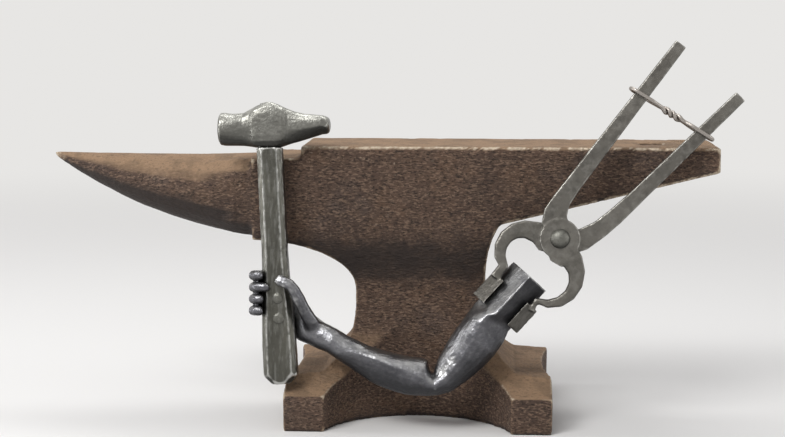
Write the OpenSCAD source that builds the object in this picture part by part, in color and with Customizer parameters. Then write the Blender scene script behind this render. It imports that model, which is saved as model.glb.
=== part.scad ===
// Forged steel arm gripping a cross-peen hammer, its square end bar held in
// smith's tongs, leaning on a London pattern anvil.
// Millimetres, +Z up, heel of the anvil on +X, seen from -Y.
// The arm, the hammer and the tongs are drawn upright in their own plane
// and then leaned back together against the anvil's front edge.

/* [Anvil] */
// Height of the face above the floor
anvil_h = 337; // [300:1:380]
// Length of the face block from the step to the end of the heel
face_len = 505; // [460:1:560]
// Width of the face
face_w = 124; // [112:1:140]
// How far the step lies left of the anvil's middle
step_x = 145; // [135:1:150]
// Height of the step from table to face
step_h = 15; // [8:1:24]
// Length of the flat table in front of the step
table_len = 61; // [50:1:75]
// Depth of the block where the horn starts
block_h = 102; // [90:1:110]
// Thickness of the heel at its end
heel_t = 31; // [24:1:45]
// Thickness of the heel where it leaves the body
heel_root_t = 96; // [85:1:110]
// Length of the horn from the table to the tip
horn_len = 257; // [220:1:300]
// Width of the horn where it leaves the table
horn_w = 122; // [104:1:124]
// Half length of the waist
waist_l = 80; // [70:1:90]
// Half depth of the waist
waist_d = 47; // [40:1:56]
// Height of the narrowest part of the waist
waist_z = 160; // [140:1:175]
// Length over the feet
base_l = 322; // [300:1:350]
// Depth over the feet
base_d = 260; // [230:1:290]
// Height of a foot at its outer edge
foot_h = 44; // [36:1:52]
// How far the top of a foot rises from its edge to the body
foot_rise = 16; // [10:1:22]
// Depth of the slope on top of a foot
foot_run = 40; // [34:1:46]
// Radius of the hollow between the front or the rear feet
hollow_r = 116; // [100:1:124]
// How deep the end hollows between the feet are
end_hollow = 9; // [4:1:16]
// Side of the square hardy hole
hardy_w = 26; // [20:1:32]
// Distance from the end of the heel to the middle of the hardy hole
hardy_in = 78; // [60:1:95]
// Radius of the round pritchel hole
pritchel_r = 8; // [6:0.5:10]
// Distance from the end of the heel to the middle of the pritchel hole
pritchel_in = 34; // [26:1:42]
// How far the pritchel hole lies behind the middle of the face
pritchel_y = 28; // [16:1:38]

/* [Hammer] */
// Angle at which the arm leans back against the anvil
lean = 9; // [7:0.5:10]
// Play left where one piece seats on another
seat = 0.3; // [0.2:0.05:0.5]
// Height of the hammer head's middle above the table's edge
head_rise = 35.7; // [34:0.1:40]
// Distance of the hammer head's eye left of the anvil's middle
head_x = 182; // [178:1:186]
// Depth of the hammer head
head_d = 42; // [36:1:46]
// Radius of the poll
poll_r = 20; // [17:0.5:21]
// Length of the poll from the eye to its struck face
poll_len = 60; // [54:1:66]
// Rise of the head's crown above its middle, over the eye
eye_top = 31; // [28:1:34]
// Depth of the head's underside below its middle, under the eye
eye_low = 24.5; // [23:0.5:27]
// Length of the peen from the eye to its tip
peen_len = 74; // [66:1:82]
// Height of the peen at its blunt tip
peen_tip = 22; // [16:1:26]
// Width of the eye along the head
eye_l = 20; // [16:1:22]
// Depth of the eye through the cheeks
eye_d = 24; // [20:1:26]
// Half depth of the handle
handle_d = 14; // [12:0.5:15]
// Half width of the handle at its neck
neck_w = 15.5; // [13:0.5:16]
// Half width of the handle at its butt
butt_w = 20.5; // [18:0.5:22]
// How far the butt lies right of the eye
butt_shift = 19; // [14:1:22]
// Radius of the two rivets in the handle
pin_r = 6; // [4:0.5:7]
// Height of the upper rivet
pin_hi = 159; // [157:1:163]
// Height of the lower rivet
pin_lo = 135; // [131:1:137]
// How far the rivets lie right of the middle of the handle
pin_off = 2; // [0:0.5:3]
// Play of the rivets in their holes
pin_play = 0.05; // [0.02:0.01:0.09]

/* [Hand] */
// Play between the hand and the handle
grip = 0.3; // [0.2:0.05:0.4]
// Half height of each finger
finger_r = 6.4; // [5.6:0.1:6.6]
// Height of the top finger
finger_z = 186; // [184:1:188]
// Distance between the fingers
finger_step = 14; // [13.6:0.1:14.6]
// Half thickness of the palm
palm_t = 11; // [9:0.5:12]
// Length of the hand from the knuckles to the wrist
hand_len = 83; // [78:1:88]
// Angle at which the hand falls from the handle to the wrist
hand_fall = 37; // [34:1:40]
// How far the wrist lies behind the handle's middle
wrist_y = 4; // [1:0.5:6]

/* [Arm] */
// Length of the forearm from the wrist to the elbow
forearm_len = 151; // [140:1:165]
// Angle at which the forearm falls to the elbow
arm_fall = 22.5; // [21:0.5:24]
// Half height of the forearm near the elbow
elbow_w = 22; // [20:0.5:24]
// Half height of the wrist
wrist_w = 19; // [17:0.5:21]
// Length of the upper arm from the elbow to the end bar
upper_len = 106; // [96:1:116]
// Side of the square end bar
bar_w = 38; // [34:0.5:42]
// Length of the end bar beyond the upper arm
bar_len = 66; // [64:1:76]
// Angle at which the upper arm rises from the elbow
arm_rise = 48; // [46:0.5:50]

/* [Tongs] */
// Thickness of each half at the joint
half_t = 12; // [10:0.5:13]
// Play between the two halves
half_gap = 0.2; // [0.1:0.05:0.3]
// Radius of the round boss of each half
boss_r = 24; // [21:0.5:25]
// Radius of the rivet
rivet_r = 6; // [5:0.5:7]
// Play between the rivet and the moving half
rivet_play = 0.05; // [0.02:0.01:0.09]
// Radius of the rivet's domed head
dome_r = 12; // [10:0.5:13]
// Distance of the rivet beyond the end of the bar
rivet_ahead = 56; // [52:1:60]
// How far the rivet lies above the bar's axis
rivet_off = 3.5; // [2:0.5:5]
// Distance from the rivet back to the middle of the jaws' bends
jaw_ahead = 41; // [38:1:44]
// Distance of a bend's middle from the tongs' axis
jaw_out = 20; // [18:1:22]
// Radius of the bend of the back half's jaw
back_jaw_r = 28.5; // [27:0.5:32]
// Radius of the bend of the front half's jaw
front_jaw_r = 33; // [31:1:35]
// Half width of a jaw where it leaves the boss
jaw_w = 12.5; // [11:0.5:14]
// Thickness of a bit that cradles the bar
bit_t = 6; // [4:0.5:7]
// Length of a bit along the bar
bit_len = 36; // [28:1:37]
// Distance from the end of the bar to a bit
bit_in = 25; // [20:1:28]
// How far a bit reaches in from the edge of the bar
bit_grip = 8; // [6:0.5:11]
// Width of a rein near the joint
rein_w = 20; // [17:0.5:22]
// Width of a rein at its end
rein_tip = 15; // [11:0.5:17]
// Length of the straight part of the front half's rein
front_rein = 210; // [198:1:220]
// Angle of the front half's rein
front_rise = 53; // [52:0.5:54]
// Length of the straight part of the back half's rein
back_rein = 174; // [165:1:185]
// Angle of the back half's rein
back_rise = 44.5; // [44:0.5:46]
// Share of the front rein's length at which the ring sits
ring_share = 0.64; // [0.58:0.01:0.68]
// Radius of the wire of the rein ring
wire_r = 2.2; // [1.8:0.1:2.6]
// Play of the ring's loops on the reins
loop_play = 2; // [1.7:0.1:2.6]

/* [Hidden] */
$fn = 64;

// Heights and places that follow from the sizes above
table_z = anvil_h - step_h;
heel_x = face_len - step_x;
horn_x = step_x + table_len;
block_z = table_z - block_h;
foot_top = foot_h + foot_rise;
foot_slope = foot_rise / foot_run;
plane_y = -face_w / 2 - table_z * tan(lean) - (handle_d + seat) / cos(lean);
edge_v = (table_z + (handle_d + seat) * sin(lean)) / cos(lean);
head_z = edge_v + head_rise;
ring_room = 2 * wire_r + 1.8;
tongs_back = handle_d - step_h * sin(lean) - ring_room;
joint_y = tongs_back - half_t;
rein_t = half_t - 1;
back_y = tongs_back - half_t / 2;
front_y = joint_y - half_gap - half_t / 2;
mid_y = joint_y - half_gap / 2;

// Vector helpers for the forged forms
function unit(v) = v / norm(v);
function ease(t) = let (c = max(0, min(1, t))) c * c * (3 - 2 * c);
function bulge(a, p) = pow(pow(abs(cos(a)), p) + pow(abs(sin(a)), p), -1 / p);
function oval(w, d, p, n) = [
    for (k = [0:n - 1])
        let (a = 360 * k / n, r = bulge(a, p)) [w * r * cos(a), d * r * sin(a)]
];
function octagon(w, d, c) = [
    [w, c - d], [w, d - c], [w - c, d], [c - w, d],
    [-w, d - c], [-w, c - d], [c - w, -d], [w - c, -d]
];
function place(pts, at, t, flat) =
    let (n1 = unit(cross(t, flat)), n2 = cross(n1, t))
    [for (p = pts) at + p[0] * n1 + p[1] * n2];
function point(s) = [s[0], s[1], s[2]];
function tangent(st, i) =
    unit(point(st[min(i + 1, len(st) - 1)]) - point(st[max(i - 1, 0)]));

// Closes a row of rings of points into one solid
module skin(rings) {
    n = len(rings[0]);
    m = len(rings);
    start = [for (k = [n - 1:-1:0]) k];
    end = [for (k = [0:n - 1]) (m - 1) * n + k];
    sides = [
        for (i = [0:m - 2], k = [0:n - 1])
            let (a = i * n + k, b = i * n + (k + 1) % n)
            each [[a, b, b + n], [a, b + n, a + n]]
    ];
    polyhedron([for (r = rings) each r], concat([start], sides, [end]));
}

// A forged limb through rows of x, y, z, half width, half depth, roundness
module limb(st, flat, first, last, n = 16) {
    e = len(st) - 1;
    skin([
        for (i = [0:e])
            place(
                oval(st[i][3], st[i][4], st[i][5], n), point(st[i]),
                i == 0 ? first : i == e ? last : tangent(st, i), flat
            )
    ]);
}

// A flat-sided bar through rows of x, y, z, half width, half depth, chamfer
module bar8(st, flat) {
    skin([
        for (i = [0:len(st) - 1])
            place(
                octagon(st[i][3], st[i][4], st[i][5]), point(st[i]),
                tangent(st, i), flat
            )
    ]);
}

// Leans the arm, the hammer and the tongs back against the anvil
module leaned() {
    translate([0, plane_y, 0])
        rotate([-lean, 0, 0])
            children();
}

// Anvil: side outline of the body, from the hollow under the horn block
// down over the waist to the feet and up under the heel
foot_in = 0.73;
function foot_flare(z) =
    waist_l + (base_l / 2 * foot_in - waist_l)
        * pow((waist_z - z) / (waist_z - foot_top - 4), 3.5);
function heel_flare(z) =
    waist_l + 17 * pow((z - waist_z) / (anvil_h - heel_root_t - waist_z), 3);
function horn_flare(z) =
    waist_l + (horn_x - waist_l)
        * (1 - sqrt(max(0, 1 - pow((z - waist_z) / (block_z - waist_z), 2))));
function rows(z0, z1, n) = [for (i = [0:n]) z0 + (z1 - z0) * i / n];
side_outline = concat(
    [[-base_l / 2, 0], [base_l / 2, 0], [base_l / 2, foot_top]],
    [for (z = rows(foot_top + 4, waist_z, 9)) [foot_flare(z), z]],
    [for (z = rows(waist_z, anvil_h - heel_root_t, 5)) if (z > waist_z) [heel_flare(z), z]],
    [[heel_x, anvil_h - heel_t], [heel_x, anvil_h]],
    [[-step_x, anvil_h], [-step_x, table_z], [-horn_x, table_z]],
    [for (i = [0:9]) let (a = 90 - 10 * i, z = waist_z + (block_z - waist_z) * sin(a)) [-horn_flare(z), z]],
    [for (z = rows(waist_z, foot_top + 4, 9)) if (z < waist_z) [-foot_flare(z), z]],
    [[-base_l / 2, foot_top]]
);

// Anvil: end outline, half of it, from the floor up to the face
block_low = 235;
function foot_depth(z) =
    waist_d + (base_d / 2 - foot_run - waist_d) * pow((waist_z - z) / (waist_z - foot_top), 3.2);
function block_depth(z) =
    waist_d + (face_w / 2 - waist_d) * ease((z - waist_z) / (block_low - waist_z));
end_half = concat(
    [[base_d / 2, 0], [base_d / 2, foot_h]],
    [for (z = rows(foot_top, waist_z, 9)) [foot_depth(z), z]],
    [for (z = rows(waist_z, block_low, 6)) if (z > waist_z) [block_depth(z), z]],
    [[face_w / 2, anvil_h]]
);
end_outline = concat(
    end_half,
    [for (i = [len(end_half) - 1:-1:0]) [-end_half[i][0], end_half[i][1]]]
);

// Anvil: the horn, round below, tapering to its tip
function horn_row(t, grow) =
    let (
        h = (block_h - 3) / 2 * (1 - 0.95 * pow(t, 1.75)) * grow,
        w = horn_w / 2 * (1 - 0.94 * pow(t, 1.9)) * grow
    )
    [-horn_x + 3 - (horn_len + 3) * t, 0, table_z - 1 + 2 * t - h, h, w, 2.1 + 3 * (1 - ease(t * 4))];
horn_rows = concat(
    [horn_row(0, 0.9) + [14, 0, -5, 0, 0, 0]],
    [for (t = [0, 0.04, 0.1, 0.18, 0.28, 0.4, 0.52, 0.64, 0.76, 0.86, 0.94, 0.98]) horn_row(t, 1)],
    [horn_row(1, 0.7)]
);

module anvil() {
    hollow_at = waist_d + hollow_r;
    end_r = (pow(base_d * 0.31, 2) + pow(end_hollow, 2)) / (2 * end_hollow);
    color("dimgray")
        difference() {
            union() {
                intersection() {
                    rotate([90, 0, 0])
                        linear_extrude(1.1 * base_d, center = true)
                            polygon(side_outline);
                    translate([(heel_x - horn_x) / 2, 0, 0])
                        rotate([90, 0, 90])
                            linear_extrude(1.1 * (heel_x + horn_x), center = true)
                                polygon(end_outline);
                }
                limb(horn_rows, [0, 1, 0], [-1, 0, 0], [-1, 0, 0], 20);
            }
            for (side = [-1, 1]) {
                translate([0, side * hollow_at, -1])
                    cylinder(r = hollow_r, h = waist_z + 1);
                translate([side * (base_l / 2 - end_hollow + end_r), 0, -1])
                    cylinder(r = end_r, h = waist_z + 1, $fn = 120);
            }
            translate([heel_x - hardy_in, 0, anvil_h])
                cube([hardy_w, hardy_w, anvil_h], center = true);
            translate([heel_x - pritchel_in, pritchel_y, anvil_h / 2])
                cylinder(r = pritchel_r, h = anvil_h);
        }
}

// Hammer: the handle's middle line and half width at a height
neck_z = head_z - eye_low - seat;
butt_d = 0.875 * handle_d;
butt_z = (
    foot_h + seat + butt_d * sin(lean) + foot_slope * (base_d / 2 + plane_y + butt_d * cos(lean))
) / (cos(lean) - foot_slope * sin(lean));
handle_len = neck_z - butt_z;
function handle_x(z) = -head_x + butt_shift * (head_z - z) / (head_z - butt_z);
function handle_w(z) =
    neck_w + (butt_w - neck_w) * ease((0.57 - (z - butt_z) / handle_len) / 0.45);
function handle_row(z, g, s) =
    [handle_x(z), 0, z, handle_w(z) * s + g, butt_d + (handle_d - butt_d) * (2 * s - 1) + g, 0.45 * handle_d];
module handle_body(g) {
    bar8(
        concat(
            [handle_row(butt_z, g, 0.5), handle_row(butt_z + butt_w / 2, g, 1)],
            [for (t = [0.12:0.11:0.9]) handle_row(butt_z + handle_len * t, g, 1)],
            [handle_row(neck_z, g, 1)]
        ),
        [0, 1, 0]
    );
}

// A section whose lower half draws in to a keel by a share k
function keeled(w, d, p, k, n) = [
    for (q = oval(w, d, p, n)) [q[0], q[1] * (1 - k * max(0, -q[0] / w - 0.3))]
];

// Hammer head rows: distance from the eye, top, bottom, half depth,
// roundness and keel, from the poll over the proud cheeks to the peen
head_rows = [
    [-poll_len, poll_r - 6, 3 - poll_r, poll_r - 4, 2, 0],
    [2.5 - poll_len, poll_r - 2.5, -poll_r - 1.5, poll_r, 2.1, 0],
    [8 - poll_len, poll_r - 2.5, -poll_r - 2.5, poll_r, 2.2, 0],
    [-0.72 * poll_len, poll_r - 3.5, -poll_r - 2.5, poll_r - 1, 2.3, 0],
    [-1.5 * eye_l, poll_r - 2.5, -eye_low + 2, 0.4 * head_d, 2.5, 0],
    [-1.1 * eye_l, 0.71 * eye_top, -eye_low + 1.2, 0.4 * head_d, 2.7, 0],
    [-0.8 * eye_l, 0.79 * eye_top, -eye_low + 0.4, head_d / 2, 4.4, 0],
    [-0.5 * eye_l, 0.88 * eye_top, -eye_low, head_d / 2, 4.6, 0],
    [-0.25 * eye_l, 0.97 * eye_top, -eye_low, head_d / 2, 4.6, 0],
    [0, eye_top, -eye_low, head_d / 2, 4.6, 0],
    [0.3 * eye_l, 0.98 * eye_top, -eye_low, head_d / 2, 4.6, 0],
    [0.6 * eye_l, 0.89 * eye_top, -eye_low + 0.5, head_d / 2, 4.4, 0],
    [0.9 * eye_l, 0.8 * eye_top, -eye_low + 2, head_d / 2 - 0.5, 4, 0.1],
    [1.15 * eye_l, 0.73 * eye_top, -0.86 * eye_low, 0.42 * head_d, 3.2, 0.3],
    [0.42 * peen_len, 0.63 * eye_top, -0.76 * eye_low, 0.42 * head_d, 3.4, 0.5],
    [0.6 * peen_len, 0.53 * eye_top, -0.6 * eye_low, 0.43 * head_d, 3.4, 0.7],
    [0.88 * peen_len, 4 + peen_tip / 2, 3 - peen_tip / 2, 0.43 * head_d, 3.2, 0.8],
    [0.95 * peen_len, 2.5 + peen_tip / 2, 3.5 - peen_tip / 2, 0.4 * head_d, 2.8, 0.7],
    [0.985 * peen_len, 1 + peen_tip / 2, 5 - peen_tip / 2, 0.36 * head_d, 2.5, 0.5],
    [peen_len, 3 + peen_tip / 4, 3 - peen_tip / 4, 0.28 * head_d, 2.2, 0.2]
];
module hammer_head() {
    color("slategray")
        leaned()
            difference() {
                skin([
                    for (r = head_rows)
                        place(
                            keeled((r[1] - r[2]) / 2, r[3], r[4], r[5], 28),
                            [r[0] - head_x, 0, head_z + (r[1] + r[2]) / 2],
                            [1, 0, 0], [0, 1, 0]
                        )
                ]);
                translate([-head_x, 0, head_z])
                    cube([eye_l, eye_d, 4 * eye_top], center = true);
            }
}

module hammer_handle() {
    tenon_l = eye_l - 0.3;
    tenon_d = eye_d - 0.3;
    tenon_h = eye_low + seat + 0.92 * eye_top;
    color("lightslategray")
        leaned()
            difference() {
                union() {
                    handle_body(0);
                    translate([-head_x - tenon_l / 2, -tenon_d / 2, neck_z - 1])
                        cube([tenon_l, tenon_d, tenon_h + 1]);
                }
                for (z = [pin_hi, pin_lo])
                    pin_bore(z);
            }
}

// The two rivets that hold the hand to the handle
pin_end = handle_d + grip + palm_t + 1;
function pin_x(z) = handle_x(z) + pin_off;
module pin_bore(z) {
    translate([pin_x(z), -handle_d - pin_r, z])
        rotate([-90, 0, 0])
            cylinder(r = pin_r + pin_play, h = pin_end + handle_d + pin_r);
}
module pin(z) {
    leaned()
        translate([pin_x(z), -handle_d - 1, z])
            rotate([-90, 0, 0])
                rotate_extrude()
                    polygon([
                        [0, 0], [pin_r - 1, 0], [pin_r, 1],
                        [pin_r, pin_end + handle_d + 1], [0, pin_end + handle_d + 1]
                    ]);
}
module handle_rivet_upper() {
    color("silver")
        pin(pin_hi);
}
module handle_rivet_lower() {
    color("silver")
        pin(pin_lo);
}

// Directions in the leaning plane: along an angle, and square to it
function dir(a) = [cos(a), 0, sin(a)];
function square_to(a) = [-sin(a), 0, cos(a)];

// A forged section with its front edge drawn up or down to a ridge
function ridged(w, d, p, r, n) = [
    for (q = oval(w, d, p, n)) [q[0] + r * w * pow(max(0, -q[1] / d), 2), q[1]]
];

// A forging through rows of x, y, z, half width, half depth, roundness, the
// ridge's place from -1 to 1, and the angle that the section faces
module forged(st, n = 20) {
    skin([
        for (s = st)
            place(ridged(s[3], s[4], s[5], s[6], n), point(s), dir(s[7]), [0, 1, 0])
    ]);
}

// Rows along a straight axis: share of its length, drift across it, half
// width, half depth, roundness, ridge, and share of a turn at its end
function laid(from, len, unit_w, facing, turn, st) = [
    for (s = st) concat(
        from + len * s[0] * dir(facing) + unit_w * s[1] * square_to(facing),
        [unit_w * s[2], unit_w * s[3], s[4], s[5], facing + turn * s[6]]
    )
];

// Hand: the palm lies behind the handle and the fingers wrap its left side
palm_y = handle_d + grip + palm_t;
palm_x = -handle_x(finger_z) + handle_w(finger_z) - 3;
palm_mid = finger_z - 1.5 * finger_step;
palm_end = [-palm_x, palm_y, palm_mid];
wrist = [-palm_x, 0, palm_mid] + hand_len * dir(-hand_fall) + [0, wrist_y, 0];
wrist_row = concat(wrist, [0.88 * wrist_w, 0.8 * wrist_w, 2.3, 0, -arm_fall]);
function palm_row(t, up, back, w, d, p, turn) =
    let (at = palm_end + t * (wrist - palm_end))
    [
        at[0] + up * sin(hand_fall), palm_y - back * (palm_y - wrist_y),
        at[2] + up * cos(hand_fall), w, d, p, 0, -hand_fall * turn
    ];
palm_high = 1.5 * finger_step + finger_r + 2;
palm_rows = [
    palm_row(0, 0, 0, palm_high, palm_t, 3.2, 0),
    palm_row(0.1, 0.1 * palm_high, 0, palm_high + 1, palm_t, 3, 0.3),
    palm_row(0.3, 0.01 * palm_high, 0.02, 0.9 * palm_high, palm_t + 0.5, 2.8, 0.9),
    palm_row(0.54, -0.05 * palm_high, 0.2, 0.73 * palm_high, palm_t + 1.5, 2.6, 1.1),
    palm_row(0.78, -0.12 * palm_high, 0.65, 0.96 * wrist_w, palm_t + 3, 2.5, 0.95),
    wrist_row
];
module palm_body() {
    forged(palm_rows);
}
module palm() {
    heel = wrist - 0.19 * hand_len * dir(-hand_fall) - 0.8 * wrist_w * square_to(-hand_fall);
    color("gainsboro")
        leaned()
            difference() {
                union() {
                    palm_body();
                    translate(heel)
                        sphere(r = 0.62 * finger_r);
                }
                handle_body(grip);
                for (z = [pin_hi, pin_lo])
                    pin_bore(z);
            }
}

// Thumb rows: share of its length, bow, share of its rise to the front, half
// width and half depth, the last three times the finger's half height
module thumb() {
    over = handle_d + grip + 0.7 * finger_r;
    root = wrist - 0.1 * wrist_w * dir(-arm_fall) + 0.16 * wrist_w * square_to(-arm_fall) + [0, 0.1 * wrist_w, 0];
    tip = [handle_x(finger_z) + 2, 0, finger_z - 0.5 * finger_r];
    lift = [tip[0] - root[0], 0, tip[2] - root[2]];
    side = unit([lift[2], 0, -lift[0]]);
    st = [
        [0, 0, 0, 1.25, 1.2], [0.13, -0.05, 0.3, 1.4, 1.42],
        [0.29, 0.11, 0.5, 1.2, 1.3], [0.45, 0.5, 0.73, 1.02, 1.14],
        [0.6, 0.86, 0.93, 0.93, 1.02], [0.71, 1.12, 1, 0.88, 0.94],
        [0.79, 1.05, 1.03, 0.84, 0.88], [0.87, 0.58, 1.03, 0.8, 0.83],
        [0.945, 0.1, 1, 0.83, 0.76], [0.985, -0.16, 0.98, 0.6, 0.56],
        [1, -0.26, 0.98, 0.3, 0.28]
    ];
    color("gainsboro")
        leaned()
            difference() {
                limb(
                    [
                        for (s = st) concat(
                            [root[0], 0, root[2]] + s[0] * lift + s[1] * finger_r * side
                                + [0, root[1] - s[2] * (over + root[1]), 0],
                            [s[3] * finger_r, s[4] * finger_r, 2.2]
                        )
                    ],
                    [0, 1, 0], -dir(-arm_fall), unit([-1, 0.2, 0.3])
                );
                palm_body();
                handle_body(grip);
            }
}

// Fingers: from the knuckles round the handle's left side to their tips
module finger(i, reach) {
    z = finger_z - i * finger_step;
    side = -handle_x(z) + handle_w(z) + grip;
    t = 1.3 * finger_r;
    front = -handle_d - 0.6 * finger_r;
    color("gainsboro")
        leaned()
            difference() {
                limb(
                    [
                        [-palm_x, palm_y, z, t, finger_r, 2.4],
                        [-side - 0.6 * finger_r, palm_y - 3, z, t, finger_r, 2.4],
                        [-side - t + 0.4, palm_y - 2 * finger_r, z, t, finger_r, 2.4],
                        [-side - t, 0, z, t, finger_r, 2.4],
                        [-side - t + 1.5, 3 - handle_d, z, t, finger_r, 2.4],
                        [-side - 2, front, z, 0.86 * t, 0.95 * finger_r, 2.3],
                        [reach * 0.6 - side - 1, front - 1.6, z, 0.7 * t, 0.86 * finger_r, 2.2],
                        [reach - side - 1, front - 0.8, z, 0.46 * t, 0.6 * finger_r, 2.2]
                    ],
                    [0, 0, 1], [-1, 0, 0], unit([1, 0.3, 0])
                );
                handle_body(grip);
                translate([-palm_x, -finger_r, z - 4 * finger_r])
                    cube([8 * finger_r, 8 * finger_r, 8 * finger_r]);
            }
}
module index_finger() {
    finger(0, 0.5 * finger_r);
}
module middle_finger() {
    finger(1, 1.7 * finger_r);
}
module ring_finger() {
    finger(2, 0.7 * finger_r);
}
module little_finger() {
    finger(3, 0.6 * finger_r);
}

// Arm: the forearm falls to the elbow and the upper arm rises to the bar
elbow = wrist + [0, -wrist_y, 0] + forearm_len * dir(-arm_fall);
elbow_turn = (arm_fall + arm_rise) / 2;
bar_half = bar_w / sqrt(2);
bar_start = elbow + upper_len * dir(arm_rise) + 0.25 * elbow_w * square_to(arm_rise);
bar_end = bar_start + bar_len * dir(arm_rise);
held_len = bit_in + bit_len + 1;
held_from = 1 - held_len / bar_len;

module forearm() {
    color("lightgray")
        leaned()
            forged(concat(
                [wrist_row],
                laid(
                    elbow - forearm_len * dir(-arm_fall), forearm_len, elbow_w, -arm_fall, elbow_turn,
                    [
                        [0.1, 0, 0.72, 0.69, 2.2, -0.15, 0],
                        [0.2, -0.1, 0.74, 0.72, 1.9, -0.2, 0],
                        [0.3, -0.19, 0.79, 0.76, 1.6, 0.1, 0],
                        [0.4, -0.27, 0.85, 0.8, 1.5, 0.3, 0],
                        [0.5, -0.3, 0.94, 0.87, 1.45, 0.4, 0],
                        [0.6, -0.27, 1, 0.92, 1.45, 0.36, 0],
                        [0.7, -0.18, 1.07, 0.95, 1.5, 0.28, 0],
                        [0.8, -0.05, 1.12, 0.97, 1.6, 0.15, 0],
                        [0.86, 0.05, 1.08, 0.98, 1.7, 0.05, 0.05],
                        [0.892, 0.1, 0.98, 0.96, 1.8, 0, 0.28],
                        [0.942, -0.03, 0.73, 0.93, 1.9, 0, 0.5],
                        [1, 0, 0.57, 0.9, 1.9, 0, 1]
                    ]
                )
            ));
}

module upper_arm() {
    color("lightgray")
        leaned()
            forged(concat(
                laid(
                    elbow, upper_len, elbow_w, arm_rise, -elbow_turn,
                    [
                        [0, 0, 0.57, 0.9, 1.9, 0, 1],
                        [0.106, -0.09, 0.82, 0.95, 1.7, 0, 0.3],
                        [0.264, -0.08, 1.03, 1, 1.5, 0, 0.03],
                        [0.473, -0.04, 1.22, 1.06, 1.5, 0.02, 0],
                        [0.69, 0, 1.31, 1.14, 1.65, 0.15, 0],
                        [0.86, 0.12, 1.29, 1.2, 1.4, 0.32, 0]
                    ]
                ),
                laid(
                    bar_start, bar_len, bar_half, arm_rise, 0,
                    [
                        [0, 0, 1, 0.98, 1.12, 0.25, 0],
                        [held_from / 2, 0, 1, 1, 1.03, 0.1, 0],
                        [held_from, 0, 1, 1, 1, 0, 0],
                        [1, 0, 1, 1, 1, 0, 0]
                    ]
                )
            ));
}

// Tongs: the rivet lies ahead of the end bar that the bits hold
rivet_at = bar_end + rivet_ahead * dir(arm_rise) + rivet_off * square_to(arm_rise);
module on_bar(s) {
    translate(bar_end)
        rotate([0, -arm_rise, 0])
            translate([s, 0, 0])
                children();
}
module bar_room(g) {
    on_bar(-held_len)
        rotate([45, 0, 0])
            translate([0, -bar_w / 2 - g, -bar_w / 2 - g])
                cube([held_len + g, bar_w + 2 * g, bar_w + 2 * g]);
}

// A bit bent to a vee over one edge of the bar
module bit(side) {
    g = bar_w / 2 + seat;
    low = bar_half - bit_grip;
    on_bar(-bit_in - bit_len)
        intersection() {
            rotate([45, 0, 0])
                difference() {
                    translate([0, -g - bit_t, -g - bit_t])
                        cube([bit_len, 2 * (g + bit_t), 2 * (g + bit_t)]);
                    translate([-1, -g, -g])
                        cube([bit_len + 2, 2 * g, 2 * g]);
                }
            translate([-1, -2 * bar_w, side > 0 ? low : -low - bar_w])
                cube([bit_len + 2, 4 * bar_w, bar_w]);
        }
}

// A jaw: an arc from the boss round to the bit that it carries
module jaw(side, r, w_end, y_boss, y_bit) {
    d = rein_t / 2;
    edge = side * (bar_half + 0.4 * bit_t) - rivet_off;
    axis = dir(arm_rise);
    out = square_to(arm_rise);
    bend = rivet_at - jaw_ahead * axis + side * jaw_out * out;
    bar8(
        concat(
            [concat(rivet_at - 0.2 * boss_r * axis + side * 0.5 * boss_r * out + [0, y_boss, 0],
                [jaw_w + 1, d, 2])],
            [
                for (i = [0:6])
                    let (a = 165 - i * 25, t = i / 6)
                    concat(
                        bend - r * cos(a) * axis + side * r * sin(a) * out
                            + [0, y_boss + (y_bit - y_boss) * min(1, 1.6 * t), 0],
                        [jaw_w + (w_end - jaw_w) * pow(t, 0.7), d, 2]
                    )
            ],
            [concat(rivet_at - (rivet_ahead + bit_in + 0.12 * bit_len) * axis + edge * out
                + [0, y_bit, 0],
                [w_end, d, 2])]
        ),
        [0, 1, 0]
    );
    bit(side);
}

// A rein: a crook out of the boss, in rein widths, and a straight taper
function rein_start(crook) =
    rivet_at + rein_w * [crook[len(crook) - 1][0], 0, crook[len(crook) - 1][1]];
function rein_point(crook, reach, rise, t) = rein_start(crook) + t * reach * dir(rise);
function rein_half(crook, t) =
    let (w0 = crook[len(crook) - 1][2] * rein_w) w0 + (rein_tip / 2 - w0) * t;
module rein(crook, reach, rise, y) {
    d = rein_t / 2;
    bar8(
        concat(
            [
                for (c = crook)
                    [rivet_at[0] + c[0] * rein_w, y, rivet_at[2] + c[1] * rein_w, c[2] * rein_w, d, 1.2]
            ],
            [
                for (t = [0.3, 0.65, 1])
                    concat(
                        rein_point(crook, reach, rise, t) + [0, y, 0],
                        [rein_half(crook, t), d - t, 1.2]
                    )
            ]
        ),
        [0, 1, 0]
    );
}
front_crook = [[-0.1, 0.2, 0.8], [-0.33, 1.09, 0.77], [-0.26, 1.58, 0.7], [0.05, 2.23, 0.56], [0.7, 3.17, 0.505]];
back_crook = [[0.3, -0.25, 0.75], [1.4, 0, 0.66], [2.4, 0.63, 0.54], [3.17, 1.27, 0.52], [4.4, 2.43, 0.46]];

// A round boss, with a pointed shoulder between it and its jaw
module tongs_boss(y, side) {
    step = 0.8;
    translate([rivet_at[0], y, rivet_at[2]])
        rotate([-90, 0, 0]) {
            cylinder(r = boss_r, h = half_t);
            translate([0, 0, step])
                rotate([0, 0, -arm_rise])
                    linear_extrude(half_t - 2 * step)
                        polygon(boss_r * [
                            [0, 0], [0.13, -side * 1.13], [-0.97, -side],
                            [-1.11, -side * 0.38], [-0.6, side * 0.6]
                        ]);
        }
}
module rivet_bore(g) {
    translate([rivet_at[0], -half_t * 6, rivet_at[2]])
        rotate([-90, 0, 0])
            cylinder(r = rivet_r + g, h = half_t * 12);
}

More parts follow.
